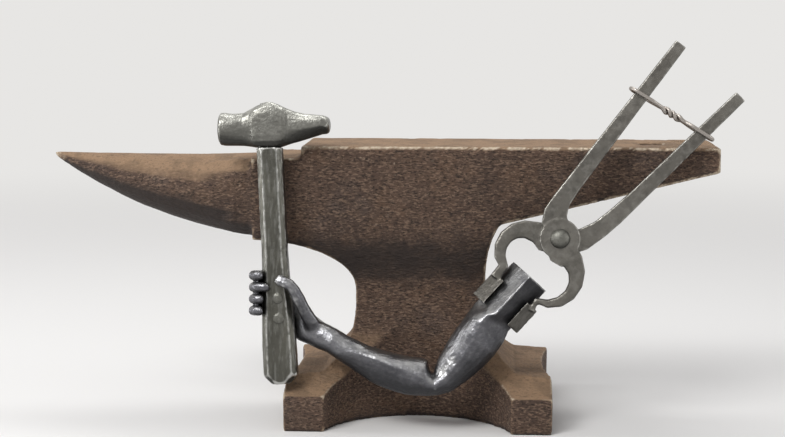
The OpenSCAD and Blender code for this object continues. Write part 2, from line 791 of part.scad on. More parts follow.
module tongs_back_half() {
    color("steelblue")
        leaned()
            difference() {
                union() {
                    tongs_boss(joint_y, 1);
                    rein(back_crook, back_rein, back_rise, back_y);
                    jaw(1, back_jaw_r, 0.5 * jaw_w, back_y, mid_y);
                }
                rivet_bore(0.02);
                bar_room(seat);
            }
}

module tongs_front_half() {
    color("royalblue")
        leaned()
            difference() {
                union() {
                    tongs_boss(front_y - half_t / 2, -1);
                    rein(front_crook, front_rein, front_rise, front_y);
                    jaw(-1, front_jaw_r, 0.34 * jaw_w, front_y, mid_y);
                }
                rivet_bore(rivet_play);
                bar_room(seat);
            }
}

module tongs_rivet() {
    head = 0.58 * dome_r;
    span = 2 * half_t + half_gap;
    y0 = front_y - half_t / 2 - 0.2;
    color("silver")
        leaned()
            translate([rivet_at[0], y0, rivet_at[2]])
                rotate([-90, 0, 0])
                    rotate_extrude()
                        polygon(concat(
                            [for (a = [0:15:90]) [dome_r * sin(a), -head * cos(a)]],
                            [[rivet_r, 0], [rivet_r, span + 0.4]],
                            [for (a = [90:-15:0]) [(dome_r - 1) * sin(a), span + 0.4 + (head - 2) * cos(a)]]
                        ));
}

// Rein ring: a wire link round both reins, its strands crossed between them
left_at = rein_point(front_crook, front_rein, front_rise, ring_share) + [0, front_y, 0];
right_at = rein_point(back_crook, back_rein, back_rise, ring_share) + [0, back_y, 0];
link = unit(right_at - left_at);
link_in = rein_half(front_crook, ring_share) + wire_r + 2.2 * loop_play;
link_out = rein_half(back_crook, ring_share) + wire_r + 2 * loop_play;
link_from = left_at - link_in * link;
link_len = norm(right_at - left_at) + link_in + link_out;
rein_dir = dir((front_rise + back_rise) / 2);
link_up = unit(rein_dir - link * (rein_dir * link));
link_deep = cross(link_up, link);
strand = rein_t / 2 + 1.5 + wire_r;
function link_half(s) =
    let (m = abs(s - link_len / 2))
    wire_r * 1.2 + (strand - wire_r * 1.2) * ease((m / wire_r - 5.5) / 7.5);
function link_turn(s) = 180 * ease((s - link_len / 2) / (13 * wire_r) + 0.5);
function link_point(s, k) =
    let (a = link_turn(s) + k * 180, h = link_half(s))
    link_from + link * s + link_deep * (h * cos(a)) + link_up * (h * sin(a));
link_steps = 14;
function link_span(i) = strand + (link_len - 2 * strand) * i / link_steps;
function link_cap(right, a) =
    link_from + link * (right ? link_len - strand + strand * sin(a) : strand - strand * sin(a))
        + link_deep * (strand * cos(a) * (right ? -1 : 1));
link_path = concat(
    [for (i = [0:link_steps]) link_point(link_span(i), 0)],
    [for (a = [22.5:22.5:157.5]) link_cap(true, a)],
    [for (i = [link_steps:-1:0]) link_point(link_span(i), 1)],
    [for (a = [157.5:-22.5:22.5]) link_cap(false, a)]
);
module rein_ring() {
    m = len(link_path);
    n = 8;
    pts = [
        for (i = [0:m - 1])
            let (t = unit(link_path[(i + 1) % m] - link_path[(i + m - 1) % m]))
            each place(oval(wire_r, wire_r, 2, n), link_path[i], t, link_up)
    ];
    color("darkslategray")
        leaned()
            polyhedron(pts, [
                for (i = [0:m - 1], k = [0:n - 1])
                    let (a = i * n + k, b = i * n + (k + 1) % n, c = (i + 1) % m * n)
                    each [[a, b, c + (k + 1) % n], [a, c + (k + 1) % n, c + k]]
            ]);
}

anvil();
hammer_head();
hammer_handle();
handle_rivet_upper();
handle_rivet_lower();
palm();
thumb();
index_finger();
middle_finger();
ring_finger();
little_finger();
forearm();
upper_arm();
tongs_front_half();
tongs_back_half();
tongs_rivet();
rein_ring();
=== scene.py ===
# %% [markdown]
# # A forged arm on a smith's anvil
#
# The object is a display piece from a forge. A steel arm grips a hammer, its
# square end is held in a pair of tongs, and all of it leans on an anvil. The
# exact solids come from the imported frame. This lesson gives each of them the
# surface of the real piece: hammer marks, scale, rust and rubbed edges.

# %% Load the frame
import math

import bmesh
import bpy
import numpy as np
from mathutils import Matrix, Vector


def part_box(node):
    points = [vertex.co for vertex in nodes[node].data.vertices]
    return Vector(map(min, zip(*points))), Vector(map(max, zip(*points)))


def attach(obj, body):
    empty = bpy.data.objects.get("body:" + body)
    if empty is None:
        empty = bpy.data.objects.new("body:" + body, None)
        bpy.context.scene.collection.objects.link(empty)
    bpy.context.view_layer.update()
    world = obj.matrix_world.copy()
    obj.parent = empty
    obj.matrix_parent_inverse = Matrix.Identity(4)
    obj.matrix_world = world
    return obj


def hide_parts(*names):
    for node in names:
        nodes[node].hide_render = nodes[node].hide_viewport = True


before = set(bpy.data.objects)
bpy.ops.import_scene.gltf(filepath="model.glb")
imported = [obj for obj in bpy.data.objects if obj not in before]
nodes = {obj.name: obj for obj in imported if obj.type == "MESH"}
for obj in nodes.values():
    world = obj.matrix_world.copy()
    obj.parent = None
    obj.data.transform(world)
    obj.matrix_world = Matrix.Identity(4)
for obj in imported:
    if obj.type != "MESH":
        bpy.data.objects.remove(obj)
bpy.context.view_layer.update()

scene = bpy.context.scene

# %% [markdown]
# ## The camera
#
# The picture was taken with a long lens, a little above the anvil's face. A
# camera is three things: a place, a direction and a focal length. They could
# be found by eye, but here they follow from lines on the object whose real
# lengths are known, so that the render can be laid over the photograph.

# %% Camera
CAMERA_AT = (0.085, -1.996, 0.511)  # metres
LOOK_DOWN, LOOK_LEFT = 7.7, 3.5  # degrees
LENS, SENSOR = 73.93, 36.0  # millimetres

camera = bpy.data.objects.new("camera", bpy.data.cameras.new("camera"))
camera.data.lens = LENS
camera.data.sensor_width = SENSOR
camera.location = CAMERA_AT
camera.rotation_euler = (math.radians(90 - LOOK_DOWN), 0, math.radians(LOOK_LEFT))
scene.collection.objects.link(camera)
scene.camera = camera
print("camera", CAMERA_AT, "lens", LENS)

# %% [markdown]
# ## Helpers for node trees
#
# Every material and every Geometry Nodes tree below is wired in code. A tree
# could also be drawn by hand in the editor, but then it couldn't be read or
# changed as a text. A few small helpers keep the wiring readable: one feeds a
# socket with a link or a plain value, and the others make nodes with it.

# %% Node helpers
MIX_SOCKETS = {"RGBA": (6, 7, 2), "FLOAT": (2, 3, 0)}  # first, second, result


def feed(tree, value, socket):
    if isinstance(value, bpy.types.NodeSocket):
        tree.links.new(value, socket)
    else:
        socket.default_value = value


def add_node(tree, kind, settings=(), **inputs):
    """A node with its settings, and its inputs fed by name."""
    node = tree.nodes.new(kind)
    for key, value in dict(settings).items():
        setattr(node, key, value)
    for key, value in inputs.items():
        feed(tree, value, node.inputs[key.replace("_", " ")])
    return node


def math_node(tree, operation, *values, clamp=False):
    node = add_node(tree, "ShaderNodeMath", {"operation": operation, "use_clamp": clamp})
    for socket, value in zip(node.inputs, values):
        feed(tree, value, socket)
    return node.outputs[0]


def vector_node(tree, operation, *values, **inputs):
    node = add_node(tree, "ShaderNodeVectorMath", {"operation": operation}, **inputs)
    for socket, value in zip(node.inputs, values):
        feed(tree, value, socket)
    return node.outputs["Value" if operation == "LENGTH" else "Vector"]


def mix_node(tree, kind, mask, first, second):
    node = add_node(tree, "ShaderNodeMix", {"data_type": kind})
    low, high, out = MIX_SOCKETS[kind]
    for index, value in ((0, mask), (low, first), (high, second)):
        feed(tree, value, node.inputs[index])
    return node.outputs[out]


def smooth_step(tree, value, low, high):
    """0 up to low, 1 from high on, and a soft slope between them."""
    settings = {"interpolation_type": "SMOOTHSTEP"}
    node = add_node(tree, "ShaderNodeMapRange", settings, Value=value, From_Min=low, From_Max=high)
    return node.outputs[0]


print("helpers", [f.__name__ for f in (add_node, math_node, vector_node, mix_node, smooth_step)])

# %% [markdown]
# ## Floor
#
# The object stands on a plain pale studio sweep. A real sweep is one sheet
# that curves up behind the object. Here a wide disc fades with distance into
# a plain glow of the same colour, which looks alike and has no edge. The glow
# is only for the rays that look at it. The shadows near the object stay,
# because the fade begins beyond them.

# %% Floor
PALE = (0.80, 0.79, 0.775, 1)
FLOOR_REACH, FADE_FROM, FADE_TO = 12.0, 0.9, 3.2
FLOOR_ROUGHNESS = 0.9


def seen_rays(tree):
    """Masks the rays that look at a thing: from the camera, a mirror or glass."""
    path = tree.nodes.new("ShaderNodeLightPath").outputs
    seen = math_node(tree, "MAXIMUM", path["Is Camera Ray"], path["Is Glossy Ray"])
    return math_node(tree, "MAXIMUM", seen, path["Is Transmission Ray"])


def floor_material():
    material = bpy.data.materials.new("floor")
    material.use_nodes = True
    tree = material.node_tree
    shader = tree.nodes["Principled BSDF"]
    shader.inputs["Base Color"].default_value = PALE
    shader.inputs["Roughness"].default_value = FLOOR_ROUGHNESS
    place = tree.nodes.new("ShaderNodeTexCoord").outputs["Object"]
    far = smooth_step(tree, vector_node(tree, "LENGTH", place), FADE_FROM, FADE_TO)
    glow = add_node(tree, "ShaderNodeEmission", Color=PALE, Strength=1.0)
    blend = add_node(tree, "ShaderNodeMixShader", Fac=math_node(tree, "MULTIPLY", far, seen_rays(tree)))
    feed(tree, shader.outputs[0], blend.inputs[1])
    feed(tree, glow.outputs[0], blend.inputs[2])
    feed(tree, blend.outputs[0], tree.nodes["Material Output"].inputs["Surface"])
    return material


def make_floor():
    mesh = bpy.data.meshes.new("floor")
    bm = bmesh.new()
    bmesh.ops.create_circle(bm, cap_ends=True, segments=96, radius=FLOOR_REACH)
    bm.to_mesh(mesh)
    bm.free()
    mesh.materials.append(floor_material())
    floor = bpy.data.objects.new("floor", mesh)
    scene.collection.objects.link(floor)


make_floor()
print("floor to", FLOOR_REACH, "m, fading from", FADE_FROM, "to", FADE_TO)

# %% [markdown]
# ## Backdrop
#
# The world is the rest of the studio. Metal shows what is around it, so the
# camera and the mirrored rays meet the pale colour of the sweep, while the
# light that falls on the object comes from a softer grey. One colour for both
# would be simpler, but it would wash the steel out.

# %% Backdrop
WORLD_LIGHT = (0.42, 0.42, 0.43, 1)

scene.world = bpy.data.worlds.new("studio")
scene.world.use_nodes = True
sky = scene.world.node_tree
shown = mix_node(sky, "RGBA", seen_rays(sky), WORLD_LIGHT, PALE)
feed(sky, shown, sky.nodes["Background"].inputs["Color"])
scene.view_settings.view_transform = "Standard"
print("world lights with", WORLD_LIGHT[:3], "and shows", PALE[:3])

# %% [markdown]
# ## Light
#
# Dark steel is drawn by what it mirrors, so the lamps are boxes of soft
# light: a wide one at the upper left, and a tall narrow one far out on each
# side, whose reflections run down the bevels as bright lines. A weak wide
# sun evens the floor. Together they light a surface so that a colour shows
# about as it is written.

# %% Lamps
AIM = (0, -0.05, 0.22)
LAMPS = {  # place, width, height, power in watts
    "key": ((-1.3, -1.6, 1.9), 1.0, 0.7, 25),
    "left_strip": ((-3.3, -0.1, 1.0), 0.55, 1.9, 34),
    "right_strip": ((3.4, -0.7, 1.0), 0.45, 1.9, 13),
    "top": ((0.1, 0.5, 1.9), 1.4, 0.35, 8),
}
SUN_STRENGTH = 0.8
SUN_TILT, SUN_TURN, SUN_SPREAD = 38, -30, 30  # degrees

for name, (at, width, height, power) in LAMPS.items():
    data = bpy.data.lights.new(name, "AREA")
    data.shape = "RECTANGLE"
    data.size, data.size_y = width, height
    data.energy = power
    light = bpy.data.objects.new(name, data)
    light.location = at
    light.rotation_euler = (Vector(AIM) - Vector(at)).to_track_quat("-Z", "Y").to_euler()
    light.visible_camera = False
    scene.collection.objects.link(light)

sun = bpy.data.lights.new("sun", "SUN")
sun.energy = SUN_STRENGTH
sun.angle = math.radians(SUN_SPREAD)
light = bpy.data.objects.new("sun", sun)
light.rotation_euler = (math.radians(SUN_TILT), 0, math.radians(SUN_TURN))
scene.collection.objects.link(light)

# %% [markdown]
# ## From solids to skins
#
# A CAD solid has perfect faces and knife edges, and a forging has neither.
# One way to age it would be to bevel every edge. Here a copy of the solid is
# turned into an even net of small squares instead, a voxel remesh, because a
# dense even net can be dented, chipped and smoothed anywhere. The frame's own
# mesh is never touched, and its copy is welded first, since it is made of
# loose triangles.

# %% Copies and nets
WELD = 1e-6
BALL_ROUNDNESS = 2


def welded_copy(names, balls=()):
    """The solids by name, and balls as (centre, radius), in one mesh."""
    joined = bmesh.new()
    for centre, radius in balls:
        grown = bmesh.ops.create_icosphere(joined, subdivisions=BALL_ROUNDNESS, radius=radius)
        bmesh.ops.translate(joined, verts=grown["verts"], vec=centre)
    for name in names:
        part = bmesh.new()
        part.from_mesh(nodes[name].data)
        bmesh.ops.remove_doubles(part, verts=part.verts, dist=WELD)
        mesh = bpy.data.meshes.new("weld")
        part.to_mesh(mesh)
        part.free()
        joined.from_mesh(mesh)
        bpy.data.meshes.remove(mesh)
    mesh = bpy.data.meshes.new("copy")
    joined.to_mesh(mesh)
    joined.free()
    mesh.materials.clear()
    return mesh


def applied(obj):
    """Puts the modifiers' result in the object's mesh and takes them off."""
    graph = bpy.context.evaluated_depsgraph_get()
    mesh = bpy.data.meshes.new_from_object(obj.evaluated_get(graph), depsgraph=graph)
    obj.modifiers.clear()
    obj.data = mesh
    return obj


def netted(name, names, voxel, balls=()):
    obj = bpy.data.objects.new(name, welded_copy(names, balls))
    scene.collection.objects.link(obj)
    net = obj.modifiers.new("net", "REMESH")
    net.mode = "VOXEL"
    net.voxel_size = voxel
    return applied(obj)


print("solids to copy", sorted(nodes))

# %% [markdown]
# ## Softening
#
# Filing and years of handling round a forging's corners. Each point of the
# net moves towards the mean of its neighbours and then a little further
# back, so that the form softens but doesn't shrink. Where two forms were
# forged into one, the join is melted by more rounds, without the way back. A
# smoothing modifier would do the same, but in numpy it is quick, and the mean
# is needed again below.

# %% Softening
PUSH, PULL, MELT = 0.5, -0.53, 0.6


def net_arrays(mesh):
    """The net's points, its edges, and how many neighbours each point has."""
    points = np.empty(len(mesh.vertices) * 3)
    mesh.vertices.foreach_get("co", points)
    edges = np.empty(len(mesh.edges) * 2, np.int64)
    mesh.edges.foreach_get("vertices", edges)
    count = np.bincount(edges, minlength=len(mesh.vertices))[:, None]
    return points.reshape(-1, 3), edges.reshape(-1, 2), count


def neighbour_mean(values, edges, count):
    total = np.zeros_like(values)
    for axis in range(values.shape[1]):
        total[:, axis] = np.bincount(edges[:, 0], values[edges[:, 1], axis], len(values))
        total[:, axis] += np.bincount(edges[:, 1], values[edges[:, 0], axis], len(values))
    return total / count


def ease(t):
    """From 0 to 1 with soft ends."""
    t = np.clip(t, 0, 1)
    return t * t * (3 - 2 * t)


def near(points, centre, radius):
    """1 at a centre, falling to 0 at the radius, for each point."""
    away = np.linalg.norm(points - np.array(centre), axis=1) / radius
    return ease(1 - away)[:, None]


def soften(obj, rounds, melts=()):
    """Melts are (centre, radius, times)."""
    points, edges, count = net_arrays(obj.data)
    for _ in range(rounds):
        for share in (PUSH, PULL):
            points += share * (neighbour_mean(points, edges, count) - points)
    for centre, radius, times in melts:
        flow = MELT * near(points, centre, radius)
        for _ in range(times):
            points += flow * (neighbour_mean(points, edges, count) - points)
    obj.data.vertices.foreach_set("co", points.ravel())
    obj.data.update()


print("a round moves a point by", PUSH, "and", PULL, "of its way, a melt by", MELT)

# %% [markdown]
# ## Where a forging wears, and where light and shade are painted
#
# Edges are rubbed bright, hollows are darkened with painted shade, what faces
# up gets painted light, on the anvil with dust, and what faces down gets
# painted shade. A shader could guess at this with its bevel or pointiness
# nodes, but they don't survive an export. So three numbers are measured once
# and kept on each point as attributes: "worn" where the surface stands above
# its neighbourhood, "sunk" where it lies below, and "up", the height of its
# normal.

# %% Wear attributes
def keep_attribute(mesh, name, values):
    layer = mesh.attributes.get(name) or mesh.attributes.new(name, "FLOAT", "POINT")
    layer.data.foreach_set("value", values.astype(np.float32))


def mark_wear(obj, reach, height, blur=2):
    """Reach is in steps of the net, height in metres above its mean there."""
    points, edges, count = net_arrays(obj.data)
    spread = points.copy()
    for _ in range(reach):
        spread = neighbour_mean(spread, edges, count)
    normals = np.empty(len(points) * 3)
    obj.data.vertex_normals.foreach_get("vector", normals)
    normals = normals.reshape(-1, 3)
    above = np.clip(((points - spread) * normals).sum(1) / height, -1, 1)[:, None]
    up = normals[:, 2:3].copy()
    for _ in range(blur):
        above = neighbour_mean(above, edges, count)
        up = neighbour_mean(up, edges, count)
    measured = {"worn": np.clip(above, 0, 1), "sunk": np.clip(-above, 0, 1), "up": up}
    for name, values in measured.items():
        keep_attribute(obj.data, name, values[:, 0])


print("attributes come after softening and again after hammering")

# %% [markdown]
# ## Geometry Nodes in code
#
# Hammer marks, rivets and wire are all made by Geometry Nodes below, so what
# their trees share is written once. A tree gets named inputs, ends in Realize
# Instances and Set Material, and may ask for a texture whose cells have a
# size in metres. The textures have a fourth coordinate, which the seed feeds,
# so the same seed always gives the same marks.

# %% Tree helpers
BOWLS = "ShaderNodeTexVoronoi", {"voronoi_dimensions": "4D", "feature": "SMOOTH_F1"}
CLOUDS = "ShaderNodeTexNoise", {"noise_dimensions": "4D"}


def geometry_tree(name, floats, vectors=()):
    tree = bpy.data.node_groups.new(name, "GeometryNodeTree")
    inputs = [("Geometry", "Geometry"), *((label, "Float") for label in floats),
              *((label, "Vector") for label in vectors), ("Material", "Material")]
    for label, kind in inputs:
        tree.interface.new_socket(label, in_out="INPUT", socket_type="NodeSocket" + kind)
    tree.interface.new_socket("Geometry", in_out="OUTPUT", socket_type="NodeSocketGeometry")
    return tree, tree.nodes.new("NodeGroupInput").outputs


def finish_tree(tree, geometry, material):
    real = add_node(tree, "GeometryNodeRealizeInstances", Geometry=geometry).outputs[0]
    dressed = add_node(tree, "GeometryNodeSetMaterial", Geometry=real, Material=material)
    tree.links.new(dressed.outputs[0], tree.nodes.new("NodeGroupOutput").inputs[0])
    return tree


def pattern(tree, kind, size, seed, out=0, **values):
    """A texture whose cells are as large as size, in metres."""
    place = tree.nodes.new("GeometryNodeInputPosition").outputs[0]
    vector = vector_node(tree, "SCALE", place, Scale=math_node(tree, "DIVIDE", 1.0, size))
    texture, settings = kind
    return add_node(tree, texture, settings, Vector=vector, W=seed, Scale=1.0, **values).outputs[out]


def kept(tree, name):
    settings = {"data_type": "FLOAT"}
    return add_node(tree, "GeometryNodeInputNamedAttribute", settings, Name=name).outputs[0]


def along_normal(tree, geometry, distance):
    normal = tree.nodes.new("GeometryNodeInputNormal").outputs[0]
    offset = vector_node(tree, "SCALE", normal, Scale=distance)
    return add_node(tree, "GeometryNodeSetPosition", Geometry=geometry, Offset=offset).outputs[0]


print("textures", BOWLS[0], "and", CLOUDS[0])

# %% [markdown]
# ## Hammer marks
#
# A smith's blows leave shallow overlapping bowls, and the scale between them
# is grainy. They could be sculpted by hand, but a pattern can be pressed into
# any net: a Voronoi texture gives the bowls, one noise gives the grain, and
# another chips the edges where "worn" is high. A third wrinkles the metal
# where "folded" says that it was bent. Every point moves inwards only, so
# that a piece stays inside its solid and clear of its neighbours.

# %% The hammered skin
BOWL_SLOPE, CHIP_CLIFF = 1.3, 5.0


def hammered_tree():
    tree, start = geometry_tree("hammered skin", (
        "Mark Size", "Mark Depth", "Grain Size", "Grain Depth",
        "Chip Size", "Chip Depth", "Chip Rarity", "Fold Size", "Fold Depth", "Seed"))
    seed = start["Seed"]
    bowls = pattern(tree, BOWLS, start["Mark Size"], seed, Smoothness=0.5)
    grain = pattern(tree, CLOUDS, start["Grain Size"], seed, Detail=4.0, Roughness=0.6)
    chips = pattern(tree, CLOUDS, start["Chip Size"], seed, Detail=3.0, Roughness=0.55)
    folds = pattern(tree, CLOUDS, start["Fold Size"], seed, Detail=1.0, Distortion=1.2)
    slope = math_node(tree, "MULTIPLY", bowls, BOWL_SLOPE)
    hit = math_node(tree, "SUBTRACT", 1.0, slope, clamp=True)
    bite = math_node(tree, "SUBTRACT", chips, start["Chip Rarity"])
    bite = math_node(tree, "MULTIPLY", bite, CHIP_CLIFF, clamp=True)
    bite = math_node(tree, "MULTIPLY", bite, kept(tree, "worn"))
    fold = math_node(tree, "MULTIPLY", folds, kept(tree, "folded"))
    fold = math_node(tree, "MULTIPLY", fold, start["Fold Depth"])
    depth = math_node(tree, "MULTIPLY", start["Mark Depth"], hit)
    depth = math_node(tree, "MULTIPLY_ADD", start["Grain Depth"], grain, depth)
    depth = math_node(tree, "MULTIPLY_ADD", start["Chip Depth"], bite, depth)
    depth = math_node(tree, "ADD", depth, fold)
    inwards = math_node(tree, "MULTIPLY", depth, -1.0)
    return finish_tree(tree, along_normal(tree, start["Geometry"], inwards), start["Material"])


HAMMERED = hammered_tree()
print("hammered skin takes", [i.name for i in HAMMERED.interface.items_tree])

# %% [markdown]
# ## Running a tree
#
# A modifier's inputs are set by each socket's identifier, which Blender
# chooses, so the helper looks it up by the name that was given above. The
# result is kept as a plain mesh, because an export reads nothing else.

# %% Running a tree
def run_tree(obj, tree, **inputs):
    modifier = obj.modifiers.new(tree.name, "NODES")
    modifier.node_group = tree
    for item in tree.interface.items_tree:
        key = item.name.lower().replace(" ", "_")
        if item.in_out == "INPUT" and key in inputs:
            modifier[item.identifier] = inputs[key]
    return applied(obj)


print("its identifiers are", [i.identifier for i in HAMMERED.interface.items_tree])

# %% [markdown]
# ## Shared surface effects
#
# Rust, scale and bare metal appear on every piece, each time at another
# size. They are written once as shader node groups with named inputs, and
# placed in each material with its own values. A group gives out masks and
# heights only. The shader itself stays in the material.
#
# The first two groups are "patches", soft islands as rust and scale form
# them, which are one noise cut between two levels, and "speckle", the pebbled
# grain of old iron, which is cells broken up by a finer noise, so that no two
# pits are alike.

# %% Patches and speckle
def shader_group(name, outputs, **inputs):
    """A group with its own place in space, which can be stretched and shifted."""
    tree = bpy.data.node_groups.new(name, "ShaderNodeTree")
    for label, value in {**inputs, "Shift": 0.0}.items():
        socket = tree.interface.new_socket(label, in_out="INPUT", socket_type="NodeSocketFloat")
        socket.default_value = value
    stretch = tree.interface.new_socket("Stretch", in_out="INPUT", socket_type="NodeSocketVector")
    stretch.default_value = (1, 1, 1)
    for label in outputs:
        tree.interface.new_socket(label, in_out="OUTPUT", socket_type="NodeSocketFloat")
    start = tree.nodes.new("NodeGroupInput").outputs
    end = tree.nodes.new("NodeGroupOutput").inputs
    here = tree.nodes.new("ShaderNodeTexCoord").outputs["Object"]
    place = vector_node(tree, "MULTIPLY_ADD", here, start["Stretch"], start["Shift"])
    return tree, start, end, place


def noise_at(tree, place, scale, detail, roughness=0.55):
    return add_node(tree, "ShaderNodeTexNoise", Vector=place, Scale=scale, Detail=detail,
                    Roughness=roughness).outputs[0]


def cut(tree, value, start, socket):
    """Sends on what lies between the group's Low and High, as 0 to 1."""
    feed(tree, smooth_step(tree, value, start["Low"], start["High"]), socket)


def patches_group():
    tree, start, end, place = shader_group("patches", ["Mask"], Scale=20.0, Low=0.4, High=0.6)
    cut(tree, noise_at(tree, place, start["Scale"], 6.0), start, end["Mask"])
    return tree


def speckle_group():
    tree, start, end, place = shader_group(
        "speckle", ["Mask", "Height"], Scale=400.0, Low=0.2, High=0.34)
    cells = add_node(tree, "ShaderNodeTexVoronoi", Vector=place, Scale=start["Scale"])
    noise = noise_at(tree, place, start["Scale"], 3.0, 0.6)
    mixed = math_node(tree, "MULTIPLY", cells.outputs["Distance"], noise)
    feed(tree, mixed, end["Height"])
    cut(tree, mixed, start, end["Mask"])
    return tree


PATCHES, SPECKLE = patches_group(), speckle_group()
print("groups", PATCHES.name, "and", SPECKLE.name)

# %% [markdown]
# ## Masks for wear and for painted light and shade
#
# These groups turn the measured attributes into masks. "edges" makes a broken
# bright line of the worn ones: a noise eats gaps into it, because no edge is
# rubbed evenly. "hollows" finds the hollows that get painted shade, "facing"
# tells the upper sides, which get painted light, from the lower ones, which
# get painted shade, and "folds" finds the crests where the metal was bent.
# They could be painted by hand, but the attributes already know the places.

# %% Masks for wear, painted light and painted shade
def attribute_at(tree, name):
    return add_node(tree, "ShaderNodeAttribute", {"attribute_name": name}).outputs["Fac"]


def broken_group(name, attribute, label, scale, detail, roughness, lift, low, high):
    """A mask from an attribute, with gaps of a noise whose scale has its own label."""
    tree, start, end, place = shader_group(name, ["Mask"], **{label: scale}, Low=low, High=high)
    noise = noise_at(tree, place, start[label], detail, roughness)
    lifted = math_node(tree, "ADD", noise, lift)
    cut(tree, math_node(tree, "MULTIPLY", attribute_at(tree, attribute), lifted), start, end["Mask"])
    return tree


def hollows_group():
    tree, start, end, _ = shader_group("hollows", ["Mask"], Low=0.1, High=0.7)
    cut(tree, attribute_at(tree, "sunk"), start, end["Mask"])
    return tree


def facing_group():
    tree, start, end, place = shader_group(
        "facing", ["Mask", "Under"], Low=0.3, High=0.8, Breakup=25.0)
    noise = math_node(tree, "SUBTRACT", noise_at(tree, place, start["Breakup"], 5.0, 0.6), 0.5)
    up = math_node(tree, "MULTIPLY_ADD", noise, 0.5, attribute_at(tree, "up"))
    cut(tree, up, start, end["Mask"])
    cut(tree, math_node(tree, "MULTIPLY", up, -1.0), start, end["Under"])
    return tree


EDGES = broken_group("edges", "worn", "Breakup", 90.0, 4.0, 0.6, 0.5, 0.25, 0.6)
FOLDS = broken_group("folds", "folded", "Scale", 120.0, 4.0, 0.55, 0.4, 0.3, 0.6)
HOLLOWS, FACING = hollows_group(), facing_group()
print("shader groups", [g.name for g in bpy.data.node_groups if g.type == "SHADER"])

# %% [markdown]
# ## Building a finish in layers
#
# A rusted or scaled surface is like paint: each layer covers part of the one
# below. The class holds the colour, roughness, metal value and height so
# far, and "layer" lays new ones over them through a mask. The chain could be
# written node by node, but in layers the order of the finish stays readable.

# %% Layers
class Finish:
    def __init__(self, name, colour, roughness, metal):
        self.material = bpy.data.materials.new(name)
        self.material.use_nodes = True
        self.tree = self.material.node_tree
        self.value = {"Base Color": (*colour, 1), "Roughness": roughness, "Metallic": metal}
        self.height = None

    def mask(self, group, amount=1.0, output="Mask", **values):
        node = self.tree.nodes.new("ShaderNodeGroup")
        node.node_tree = group
        for key, value in values.items():
            node.inputs[key.title()].default_value = value
        return math_node(self.tree, "MULTIPLY", node.outputs[output], amount)

    def both(self, first, second):
        return math_node(self.tree, "MULTIPLY", first, second)

    def layer(self, mask, colour=None, roughness=None, metal=None):
        if colour is not None:
            self._mix("Base Color", "RGBA", mask, (*colour, 1))
        if roughness is not None:
            self._mix("Roughness", "FLOAT", mask, roughness)
        if metal is not None:
            self._mix("Metallic", "FLOAT", mask, metal)

    def _mix(self, name, kind, mask, value):
        self.value[name] = mix_node(self.tree, kind, mask, self.value[name], value)

    def raise_by(self, mask, metres):
        step = math_node(self.tree, "MULTIPLY", mask, metres)
        self.height = step if self.height is None else math_node(self.tree, "ADD", self.height, step)

    def done(self):
        shader = self.tree.nodes["Principled BSDF"]
        for name, value in self.value.items():
            feed(self.tree, value, shader.inputs[name])
        bump = add_node(self.tree, "ShaderNodeBump", Distance=1.0, Height=self.height)
        self.tree.links.new(bump.outputs[0], shader.inputs["Normal"])
        print("material", self.material.name, "has", len(self.tree.nodes), "nodes")
        return self.material


# %% [markdown]
# ## Dressing a piece
#
# Every forged piece goes the same way: net, soften, measure the wear, hammer,
# measure again, and then the piece is hung on the empty of the body that
# carries it, and the solids that it stands for are hidden. One function does
# it all, because the pieces differ only in their sizes.

# %% Dressing
def hand_over(piece, names, body):
    piece.data.shade_smooth()
    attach(piece, body)
    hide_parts(*names)
    print(piece.name, len(piece.data.polygons), "faces on", body)


def dress(name, names, slot, material, voxel, rounds, reach, height, body="sculpture", blur=2,
          with_nodes=(), balls=(), melts=(), folds=(), **marks):
    """With_nodes are solids that fill the net and keep their own pieces."""
    piece = netted(name, [*names, *with_nodes], voxel, balls)
    soften(piece, rounds, melts)
    mark_wear(piece, reach, height, blur)
    points = net_arrays(piece.data)[0]
    folded = np.zeros((len(points), 1))
    for centre, radius in folds:
        folded = folded + near(points, centre, radius)
    keep_attribute(piece.data, "folded", np.clip(folded[:, 0], 0, 1))
    run_tree(piece, HAMMERED, material=material, **marks)
    mark_wear(piece, reach, height, blur)
    hand_over(piece, names, body)


# %% [markdown]
# ## The anvil's rust
#
# The anvil has stood in a workshop for years. Its sides are an even dark
# brown with a pebbled grain, a little redder in places. One noise would look
# like painted camouflage. Real rust is layered, so the colour is laid in the
# same order, from the old scale to the newest flecks. The grain is a little
# longer along the anvil than up it, the way that the iron was drawn out.

# %% Rust
BROWN, DARK_BROWN, RED_BROWN = (0.092, 0.054, 0.036), (0.058, 0.034, 0.024), (0.12, 0.068, 0.04)
GREY_SCALE, DARK_SPOT = (0.085, 0.066, 0.06), (0.05, 0.03, 0.022)
LIGHT_GRAIN, DARK_GRAIN = (0.22, 0.145, 0.098), (0.022, 0.014, 0.01)
PIT_AND_UNDER_SHADE, FLECK = (0.016, 0.01, 0.008), (0.34, 0.26, 0.19)
FLAT, FLATTER = (0.6, 1, 1.5), (0.5, 1, 1.3)


